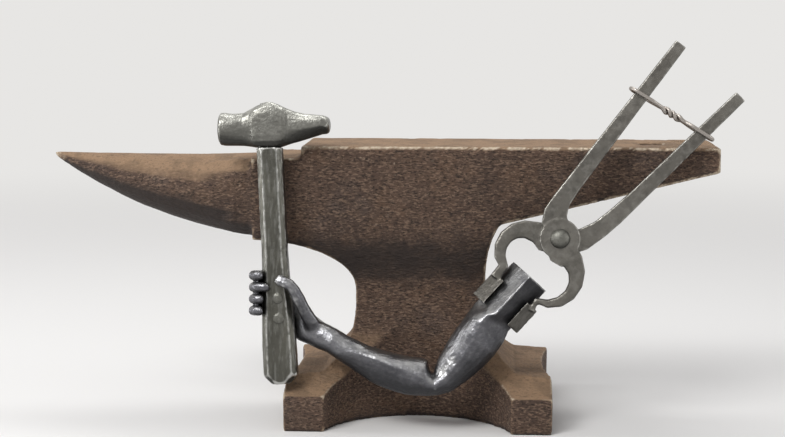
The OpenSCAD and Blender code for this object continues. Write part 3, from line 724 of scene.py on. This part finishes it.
def lay_rust(iron):
    iron.layer(iron.mask(PATCHES, 0.75, scale=8, low=0.42, high=0.62), DARK_BROWN, 0.8)
    iron.layer(iron.mask(PATCHES, 0.6, scale=24, low=0.46, high=0.66, shift=4), RED_BROWN, 0.74)
    iron.layer(iron.mask(PATCHES, 0.4, scale=13, low=0.52, high=0.7, shift=9), GREY_SCALE, 0.6, 0.35)
    iron.layer(iron.mask(PATCHES, 0.45, scale=90, low=0.5, high=0.68, shift=6, stretch=FLATTER),
               DARK_SPOT)
    iron.layer(iron.mask(PATCHES, 0.75, scale=330, low=0.48, high=0.64, shift=1, stretch=FLAT),
               LIGHT_GRAIN)
    iron.layer(iron.mask(PATCHES, 0.85, scale=380, low=0.5, high=0.64, shift=2, stretch=FLAT),
               DARK_GRAIN, 0.88)
    iron.layer(iron.mask(SPECKLE, 0.8, scale=150, low=0.1, high=0.02, shift=5), PIT_AND_UNDER_SHADE, 0.9)
    iron.layer(iron.mask(PATCHES, 0.5, scale=120, low=0.68, high=0.74, shift=8), FLECK, 0.5, 0.4)


anvil_iron = Finish("anvil rust", BROWN, 0.76, 0.15)
lay_rust(anvil_iron)
print("rust is laid over", BROWN)

# %% [markdown]
# ## The anvil's dust, painted light and shade, and rubbed edges
#
# The face, the horn's back and the tops of the feet get a dusty tan, which is
# dust and painted light on what faces up. The undersides and hollows are made
# nearly black with painted shade, and the edges shine through. All of this
# depends on the shape, so it is laid last, through the masks that read the
# measured attributes. The height of the grain comes from the same patterns as
# its colour, so that both agree.

# %% Dust with painted light, painted shade, edges and grain
DUST_AND_TOP_LIGHT, DUST_AND_LIGHT_PATCH, DUST_AND_LIGHT_GRAIN = (0.32, 0.205, 0.12), (0.17, 0.11, 0.065), (0.13, 0.085, 0.052)
HOLLOW_SHADE, RUBBED, BARE_IRON = (0.025, 0.016, 0.012), (0.26, 0.175, 0.11), (0.5, 0.42, 0.32)
FINE_PITS, GRAIN, COARSE_PITS = 0.0009, 0.0006, 0.0018  # heights in metres


def lay_wear_light_and_shade(iron):
    # Dust and painted light: what faces up turns a pale tan, with darker patches and grain in it.
    dusty_and_lit = iron.mask(FACING, 0.85, low=0.25, high=0.8)
    patches = iron.mask(PATCHES, 0.75, scale=40, low=0.45, high=0.6, shift=2)
    grains = iron.mask(PATCHES, 0.7, scale=300, low=0.52, high=0.66)
    iron.layer(dusty_and_lit, DUST_AND_TOP_LIGHT, 0.8, 0.1)
    iron.layer(iron.both(dusty_and_lit, patches), DUST_AND_LIGHT_PATCH)
    iron.layer(iron.both(dusty_and_lit, grains), DUST_AND_LIGHT_GRAIN)
    # Painted shade: what faces down is darkened nearly to black, in the colour of the pits.
    iron.layer(iron.mask(FACING, 0.92, "Under", low=-0.05, high=0.35), PIT_AND_UNDER_SHADE, 0.75, 0.1)
    # Painted shade: the hollows are darkened nearly to black.
    iron.layer(iron.mask(HOLLOWS, 0.7), HOLLOW_SHADE, 0.9, 0.0)
    iron.layer(iron.mask(EDGES, 0.7, breakup=50, low=0.42, high=0.85), RUBBED, 0.6, 0.3)
    iron.layer(iron.mask(EDGES, 0.9, breakup=220, low=0.6, high=0.95), BARE_IRON, 0.42, 0.6)
    iron.raise_by(iron.mask(SPECKLE, output="Height", scale=420, stretch=FLAT), FINE_PITS)
    iron.raise_by(iron.mask(PATCHES, scale=260, low=0.35, high=0.7, shift=1, stretch=FLAT), GRAIN)
    iron.raise_by(iron.mask(SPECKLE, output="Height", scale=110, shift=3), COARSE_PITS)


lay_wear_light_and_shade(anvil_iron)
ANVIL_IRON = anvil_iron.done()

# %% [markdown]
# ## The anvil
#
# A forged anvil is one mass of iron with wide shallow dents and a few nicks
# in its straight edges. A finer net would cost faces and show nothing more,
# because its smallest form is a nick.

# %% Anvil
dress("anvil_skin", ["anvil"], "anvil_iron", ANVIL_IRON, voxel=0.0027, rounds=1, reach=3,
      height=0.0009, blur=1, seed=1.5, mark_size=0.05, mark_depth=0.0006,
      grain_size=0.012, grain_depth=0.0008, chip_size=0.016, chip_depth=0.003, chip_rarity=0.56)

# %% [markdown]
# ## Forged steel
#
# The arm, the hammer and the tongs are bare steel: grey scale left by the
# heat, brushed and oiled, and polished to bright metal wherever an edge or a
# mark stands proud. What faces down and the hollows are darkened with painted
# shade, and on some pieces what faces up is lightened with a painted
# highlight. One function makes the finish, and each steel gets its own tint,
# darkness and streaks, which run the way it was drawn and filed.

# %% Steel
SHADE_SPAN, WEAR_SPAN = 0.65, 0.45
STEEL_GRAIN = 0.00022  # metres


def dimmed(colour, share):
    return tuple(share * c for c in colour)


def steel(name, scale, tint, bare, roughness, streak, wear, shade=0.7, shade_from=-0.05,
          spots=0.3, painted_top_light=0.0, folds=0.0):
    """Streak stretches the pattern, wear is where edges turn bright, the rest are amounts."""
    metal = Finish(name, scale, roughness, 0.9)
    dark = dimmed(scale, 0.45)
    light = tuple(0.6 * a + 0.4 * b for a, b in zip(scale, bare))
    metal.layer(metal.mask(PATCHES, 0.8, scale=14, low=0.4, high=0.64), tint, roughness + 0.04)
    metal.layer(metal.mask(PATCHES, spots, scale=55, low=0.5, high=0.7, shift=3),
                dark, roughness + 0.12, 0.75)
    metal.layer(metal.mask(PATCHES, 0.35, scale=280, low=0.46, high=0.64, stretch=streak),
                light, roughness - 0.04)
    metal.layer(metal.mask(PATCHES, 0.35, scale=240, low=0.48, high=0.66, stretch=streak, shift=5),
                dark)
    # Painted highlight: what faces up is lightened to bare metal, broken into streaks.
    if painted_top_light:
        lit_top = metal.mask(FACING, painted_top_light, low=0.2, high=0.75, breakup=34)
        top_light_streaks = metal.mask(PATCHES, scale=90, low=0.25, high=0.6, shift=2, stretch=streak)
        metal.layer(metal.both(lit_top, top_light_streaks), bare, roughness - 0.03, 1.0)
    if folds:
        metal.layer(metal.mask(FOLDS, folds, low=0.3, high=0.75), bare, roughness, 1.0)
    # Painted shade: what faces down is darkened to a fifth of the scale colour.
    underside_shade = metal.mask(FACING, shade, "Under", low=shade_from, high=shade_from + SHADE_SPAN, breakup=30)
    metal.layer(underside_shade, dimmed(scale, 0.22), roughness + 0.12, 0.7)
    # Painted shade: the hollows are darkened nearly to black.
    metal.layer(metal.mask(HOLLOWS, 0.85), dimmed(scale, 0.12), 0.6, 0.5)
    metal.layer(metal.mask(EDGES, 0.8, breakup=120, low=wear, high=wear + WEAR_SPAN),
                bare, roughness - 0.06, 1.0)
    metal.raise_by(metal.mask(SPECKLE, output="Height", scale=520), STEEL_GRAIN)
    metal.raise_by(metal.mask(PATCHES, scale=150, low=0.3, high=0.7), STEEL_GRAIN)
    return metal.done()


# %% [markdown]
# ## Places on the sculpture
#
# The sculpture was laid out flat, as on the smith's bench, and then leaned
# back against the anvil by 9 degrees. Places on it are easier to give on the
# bench, as across, deep and high, and this function leans them.

# %% Leaning
LEAN, PLANE = math.radians(9), -0.127478


def leaned(point):
    """From the sculpture's own upright plane to its place against the anvil."""
    x, y, z = point
    return (x, PLANE + y * math.cos(LEAN) + z * math.sin(LEAN), z * math.cos(LEAN) - y * math.sin(LEAN))


def leaned_all(spots):
    return [(leaned(at), *sizes) for at, *sizes in spots]


print("the foot of the bench's plane stands at", leaned((0, 0, 0)))

# %% [markdown]
# ## The hammer's head
#
# The head was ground after forging, so its marks are faint. Its top gets a
# painted highlight, and its underside a strong painted shade that reaches up
# its sides. The neck behind the poll is a smooth waist. A bevel there would
# leave a facet, so the net is melted instead.

# %% Hammer head
POLL_NECK = [((-0.201, -0.012, 0.362), 0.017, 24), ((-0.201, -0.012, 0.343), 0.017, 24)]
# Painted highlight on the top, and strong painted shade from low on the sides down.
HEAD_STEEL = steel(
    "hammer head steel", scale=(0.185, 0.182, 0.165), tint=(0.155, 0.153, 0.138),
    bare=(0.52, 0.52, 0.48), roughness=0.34, streak=(0.6, 1, 1), wear=0.35, shade=0.95,
    shade_from=-0.15, spots=0.2, painted_top_light=0.8)
dress("hammer_head_skin", ["hammer_head"], "forged_steel", HEAD_STEEL, voxel=0.0009, rounds=5,
      reach=9, height=0.0007, seed=3.1, melts=leaned_all(POLL_NECK), mark_size=0.013,
      mark_depth=0.00018, grain_size=0.005, grain_depth=0.00014,
      chip_size=0.006, chip_depth=0.0004, chip_rarity=0.5)

# %% [markdown]
# ## The hammer's handle
#
# The handle is a forged bar with long flats and a bevel down each corner, and
# its streaks run along it. Its rivets are netted with it, so that their bores
# are closed: a bore's rim would wear bright round each head, as an edge does,
# and on the real handle the rivets fill their holes.

# %% Hammer handle
HANDLE_RIVETS = ["handle_rivet_upper", "handle_rivet_lower"]
HANDLE_STEEL = steel(
    "handle steel", scale=(0.09, 0.088, 0.075), tint=(0.115, 0.112, 0.095), bare=(0.5, 0.5, 0.48),
    roughness=0.34, streak=(1, 1, 0.08), wear=0.24)
dress("hammer_handle_skin", ["hammer_handle"], "forged_steel", HANDLE_STEEL, voxel=0.0011,
      rounds=1, reach=7, height=0.0005, seed=4.7, with_nodes=HANDLE_RIVETS, mark_size=0.017,
      mark_depth=0.0003, grain_size=0.009, grain_depth=0.0002,
      chip_size=0.012, chip_depth=0.0007, chip_rarity=0.5)

# %% [markdown]
# ## The thumb
#
# The thumb's solid is a plain tapered bar. It could be sculpted, but a chain
# of balls fills it out as if with clay: each ball has a place and a radius,
# and more are set between them, so close that the net joins them.

# %% Thumb
THUMB = [((-0.1640, -0.0180, 0.1835), 0.0048), ((-0.1575, -0.0185, 0.1806), 0.0053),
         ((-0.1510, -0.0182, 0.1766), 0.0055), ((-0.1452, -0.0170, 0.1698), 0.0058),
         ((-0.1400, -0.0145, 0.1600), 0.0062), ((-0.1352, -0.0115, 0.1490), 0.0067),
         ((-0.1298, -0.0085, 0.1386), 0.0073), ((-0.1238, -0.0060, 0.1300), 0.0080)]
BALLS_BETWEEN = 6


def filled(chain):
    balls = []
    for (a, r), (b, q) in zip(chain, chain[1:]):
        for i in range(BALLS_BETWEEN):
            t = i / BALLS_BETWEEN
            balls.append((leaned([m + (n - m) * t for m, n in zip(a, b)]), r + (q - r) * t))
    return balls


thumb_balls = filled(THUMB)
print("thumb of", len(thumb_balls), "balls")

# %% [markdown]
# ## The arm
#
# Palm, thumb, forearm and upper arm are one forging on the real piece, drawn
# from a square bar. So their solids are netted together: the voxels close the
# seams between them, and the melts turn the joins into flowing metal. The
# crook of the elbow is wrinkled, because the bar was folded there while hot.

# %% Arm
ARM_MELTS = [
    ((-0.118, -0.004, 0.118), 0.026, 12),  # wrist
    ((-0.1225, -0.007, 0.1304), 0.02, 50),  # root of the thumb
    ((0.0786, -0.014, 0.1421), 0.022, 45),  # root of the bar
    ((0.094, -0.01, 0.149), 0.022, 45),  # its lower side
]
CROOK = [((0.03, -0.015, 0.0755), 0.015), ((0.043, -0.015, 0.0865), 0.015)]
# Painted shade on what faces down, and a painted highlight on what faces up.
ARM_STEEL = steel(
    "arm steel", scale=(0.125, 0.125, 0.137), tint=(0.155, 0.155, 0.165), bare=(0.44, 0.44, 0.44),
    roughness=0.3, streak=(0.6, 1, 1), wear=0.34, shade=0.85, shade_from=-0.2, painted_top_light=0.75,
    folds=0.75)
dress("arm_skin", ["palm", "thumb", "forearm", "upper_arm"], "forged_steel", ARM_STEEL,
      voxel=0.0012, rounds=4, reach=9, height=0.0008, seed=7.9, balls=thumb_balls,
      melts=leaned_all(ARM_MELTS), folds=leaned_all(CROOK), fold_size=0.009, fold_depth=0.0035,
      mark_size=0.024, mark_depth=0.0012, grain_size=0.01, grain_depth=0.0003,
      chip_size=0.01, chip_depth=0.0005, chip_rarity=0.5)

# %% [markdown]
# ## The fingers
#
# Four short bars were bent round the handle. They could be netted with the
# palm, but they are rounder and carry stronger painted shade and fewer bright
# edges, with deep gaps between them that a coarser net would close. So they
# are one skin of their own, which rides with the rest.

# %% Fingers
FINGERS = ["index_finger", "middle_finger", "ring_finger", "little_finger"]
# Strong painted shade on what faces down, and a weak painted highlight on top.
FINGER_STEEL = steel(
    "finger steel", scale=(0.13, 0.13, 0.142), tint=(0.17, 0.17, 0.178), bare=(0.5, 0.5, 0.5),
    roughness=0.28, streak=(0.5, 1, 1), wear=0.6, shade=0.95, painted_top_light=0.4)
dress("fingers_skin", FINGERS, "forged_steel", FINGER_STEEL, voxel=0.0009, rounds=5, reach=6,
      height=0.0016, seed=6.3, mark_size=0.012, mark_depth=0.0006,
      grain_size=0.006, grain_depth=0.0002, chip_size=0.01, chip_depth=0.0003, chip_rarity=0.5)

# %% [markdown]
# ## The tongs
#
# Each half turns on the rivet, so each is a piece of its own on its own
# body. Both share one look: flats darker than the hammer, mottled by old
# scale, with thin bright lines where the edges were filed. The jaws were bent
# hot, so their bends and the necks of the bits are melted.

# %% Tongs
JAW_BENDS = [
    ((0.1175, -0.004, 0.2224), 0.032, 13), ((0.1007, -0.004, 0.1906), 0.014, 22),  # left jaw, neck
    ((0.1894, -0.004, 0.188), 0.032, 13), ((0.1566, -0.004, 0.1568), 0.02, 6),  # right jaw, end
    ((0.1402, -0.006, 0.1579), 0.014, 22),  # right neck
]
TONGS_STEEL = steel(
    "tongs steel", scale=(0.14, 0.132, 0.118), tint=(0.175, 0.167, 0.15), bare=(0.42, 0.41, 0.38),
    roughness=0.36, streak=(0.35, 1, 0.35), wear=0.45, spots=0.35)
TONGS_LOOK = dict(
    slot="tongs_steel", material=TONGS_STEEL, voxel=0.0011, rounds=2, reach=6, height=0.0006,
    melts=leaned_all(JAW_BENDS), mark_size=0.022, mark_depth=0.0004, grain_size=0.008,
    grain_depth=0.0002, chip_size=0.01, chip_depth=0.0004, chip_rarity=0.5)
dress("tongs_front_skin", ["tongs_front_half"], body="front_half", seed=8.3, **TONGS_LOOK)
dress("tongs_back_skin", ["tongs_back_half"], body="sculpture", seed=9.1, **TONGS_LOOK)

# %% [markdown]
# ## Rivets
#
# Three rivets hold the piece together: two through the handle and the hand,
# one through the tongs. A rivet is a pin whose ends were hammered to domes.
# The tree below takes a ball and pulls its halves apart: the rings near its
# middle become the thin pin and the others the heads. It sets one on every
# point that it is given, turned along an axis. So one tree serves all three,
# and another rivet would be one more point.

# %% The rivet tree
SEGMENTS, RINGS = 48, 24
HEAD_FROM = 0.2588  # height of the ring where a head starts, on a ball of radius 1
RING_SLACK = 0.02


def pulled_ball(tree, start):
    """A ball of radius 1 whose rings move out to a pin and two domed heads."""
    ball = add_node(tree, "GeometryNodeMeshUVSphere", Segments=SEGMENTS, Rings=RINGS, Radius=1.0)
    place = tree.nodes.new("GeometryNodeInputPosition").outputs[0]
    part = add_node(tree, "ShaderNodeSeparateXYZ", Vector=place).outputs
    height = math_node(tree, "ABSOLUTE", part["Z"])
    is_head = math_node(tree, "GREATER_THAN", height, HEAD_FROM - RING_SLACK)
    dome = math_node(tree, "SUBTRACT", height, HEAD_FROM)
    dome = math_node(tree, "DIVIDE", dome, 1 - HEAD_FROM, clamp=True)
    reach = math_node(tree, "MULTIPLY_ADD", dome, start["Dome"], start["Half Length"])
    radius = math_node(tree, "SUBTRACT", start["Head Radius"], start["Pin Radius"])
    radius = math_node(tree, "MULTIPLY_ADD", is_head, radius, start["Pin Radius"])
    wide = {axis: math_node(tree, "MULTIPLY", part[axis], radius) for axis in "XY"}
    end = math_node(tree, "MULTIPLY", math_node(tree, "SIGN", part["Z"]), reach)
    shape = add_node(tree, "ShaderNodeCombineXYZ", **wide, Z=end).outputs[0]
    return add_node(tree, "GeometryNodeSetPosition", Geometry=ball.outputs[0], Position=shape).outputs[0]


def rivet_tree():
    tree, start = geometry_tree(
        "rivets", ("Head Radius", "Pin Radius", "Half Length", "Dome", "Dent", "Seed"), ("Axis",))
    turn = add_node(tree, "FunctionNodeAlignRotationToVector", {"axis": "Z"}, Vector=start["Axis"])
    spots = add_node(tree, "GeometryNodeMeshToPoints", Mesh=start["Geometry"]).outputs[0]
    pins = add_node(tree, "GeometryNodeInstanceOnPoints", Points=spots,
                    Instance=pulled_ball(tree, start), Rotation=turn.outputs[0]).outputs[0]
    real = add_node(tree, "GeometryNodeRealizeInstances", Geometry=pins).outputs[0]
    blows = pattern(tree, CLOUDS, start["Head Radius"], start["Seed"], Detail=3.0, Roughness=0.6)
    dented = along_normal(tree, real, math_node(tree, "MULTIPLY", blows, start["Dent"]))
    return finish_tree(tree, dented, start["Material"])


RIVETS = rivet_tree()
print("rivets take", [i.name for i in RIVETS.interface.items_tree])

# %% [markdown]
# ## Setting the rivets
#
# A rivet belongs where its solid is. The box of the solid gives the middle,
# and the lean of the whole sculpture gives the axis. The lengths are those
# of the stack that each rivet clamps. They could be typed as places, but then
# they wouldn't follow the frame.

# %% Rivets
ACROSS = Vector((0, -math.cos(LEAN), math.sin(LEAN)))


def box_middle(name):
    low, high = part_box(name)
    return (Vector(low) + Vector(high)) / 2


def rivets(name, names, slot, material, **sizes):
    mesh = bpy.data.meshes.new(name)
    mesh.from_pydata([box_middle(n) for n in names], [], [])
    piece = bpy.data.objects.new(name, mesh)
    scene.collection.objects.link(piece)
    run_tree(piece, RIVETS, material=material, axis=tuple(ACROSS), **sizes)
    mark_wear(piece, reach=4, height=0.0006)
    hand_over(piece, names, "sculpture")


RIVET_STEEL = steel(
    "rivet steel", scale=(0.135, 0.133, 0.117), tint=(0.165, 0.163, 0.145), bare=(0.4, 0.4, 0.38),
    roughness=0.42, streak=(1, 1, 1), wear=0.8, spots=0.2)
rivets("handle_rivets", HANDLE_RIVETS, "bright_steel", RIVET_STEEL, head_radius=0.0069,
       pin_radius=0.0055, half_length=0.0199, dome=0.0016, dent=-0.0003, seed=2.0)
rivets("tongs_rivet_skin", ["tongs_rivet"], "tongs_steel", RIVET_STEEL, head_radius=0.0124,
       pin_radius=0.006, half_length=0.0113, dome=0.0069, dent=-0.0006, seed=3.0)

# %% [markdown]
# ## The wire's route
#
# A wire link keeps the reins of the tongs together. A smith winds it round
# both reins and twists the two strands against each other. It could be drawn
# as a curve by hand, but its route is a rule: two strands on opposite sides of
# a line from rein to rein, which close in towards the middle, turn round each
# other, and join in a half circle past each rein.

# %% The wire's route
LEFT_REIN, RIGHT_REIN = (0.262272, -0.012747, 0.403460), (0.334815, -0.000547, 0.359377)
PAST_LEFT, PAST_RIGHT = 0.015036, 0.014312
REIN_WAY = (0.659346, 0.0, 0.751840)
WIRE, BOW = 0.0024, 0.0092  # radii of the wire and of the half circles
TWIST_HALF, TWIST_LENGTH, HALF_TURNS = WIRE * 1.08, 13 * WIRE, 3
OPENS_FROM, OPENS_OVER = 5.5, 7.5  # from the middle, in radii of the wire
STRAND_STEPS, BEND_STEPS = 40, 12


def wire_route():
    left, right = Vector(LEFT_REIN), Vector(RIGHT_REIN)
    along = (right - left).normalized()
    up = (Vector(REIN_WAY) - along * along.dot(Vector(REIN_WAY))).normalized()
    deep = up.cross(along)
    start = left - PAST_LEFT * along
    length = (right - left).length + PAST_LEFT + PAST_RIGHT

    def strand(s, side):
        off = abs(s - length / 2) / WIRE
        half = TWIST_HALF + (BOW - TWIST_HALF) * ease((off - OPENS_FROM) / OPENS_OVER)
        turn = math.pi * (HALF_TURNS * ease((s - length / 2) / TWIST_LENGTH + 0.5) + side)
        return start + along * s + deep * half * math.cos(turn) + up * half * math.sin(turn)

    def bend(turn, at, out):
        return start + along * (at + out * BOW * math.sin(turn)) + deep * BOW * out * -math.cos(turn)

    steps = [BOW + (length - 2 * BOW) * i / STRAND_STEPS for i in range(STRAND_STEPS + 1)]
    turns = [math.pi * i / BEND_STEPS for i in range(1, BEND_STEPS)]
    route = [strand(s, 0) for s in steps] + [bend(t, length - BOW, 1) for t in turns]
    route += [strand(s, 1) for s in reversed(steps)] + [bend(math.pi - t, BOW, -1) for t in turns]
    return [leaned(p) for p in route]


route = wire_route()
print("the wire passes", len(route), "points")

# %% [markdown]
# ## Sweeping the wire
#
# Geometry Nodes sweep a round section along that route. A curve with a bevel
# depth would be as round, but here the points are first spaced evenly and then
# pushed about a little by a noise, because wire that was bent cold with pliers
# is never quite smooth.

# %% Wire ring
SECTION_POINTS = 14


def wire_tree():
    tree, start = geometry_tree("bent wire", ("Wire Radius", "Step", "Kink Size", "Kink", "Seed"))
    path = add_node(tree, "GeometryNodeMeshToCurve", Mesh=start["Geometry"]).outputs[0]
    even = add_node(tree, "GeometryNodeResampleCurve", {"mode": "LENGTH"}, Curve=path,
                    Length=start["Step"]).outputs[0]
    noise = pattern(tree, CLOUDS, start["Kink Size"], start["Seed"], out="Color", Detail=2.0)
    centred = vector_node(tree, "SUBTRACT", noise, (0.5, 0.5, 0.5))
    pushed = vector_node(tree, "SCALE", centred, Scale=start["Kink"])
    bent = add_node(tree, "GeometryNodeSetPosition", Geometry=even, Offset=pushed).outputs[0]
    section = add_node(tree, "GeometryNodeCurvePrimitiveCircle", Resolution=SECTION_POINTS,
                       Radius=start["Wire Radius"]).outputs[0]
    swept = add_node(tree, "GeometryNodeCurveToMesh", Curve=bent, Profile_Curve=section).outputs[0]
    return finish_tree(tree, swept, start["Material"])


WIRE_STEEL = steel(
    "wire steel", scale=(0.13, 0.115, 0.105), tint=(0.17, 0.12, 0.09), bare=(0.42, 0.39, 0.36),
    roughness=0.4, streak=(1, 1, 1), wear=0.35)
ring_mesh = bpy.data.meshes.new("rein_ring_skin")
ring_mesh.from_pydata(route, [(i, (i + 1) % len(route)) for i in range(len(route))], [])
ring = bpy.data.objects.new("rein_ring_skin", ring_mesh)
scene.collection.objects.link(ring)
run_tree(ring, wire_tree(), material=WIRE_STEEL, wire_radius=WIRE, step=0.0016,
         kink_size=0.016, kink=0.0008, seed=4.0)
mark_wear(ring, reach=3, height=0.0004)
hand_over(ring, ["rein_ring"], "ring")
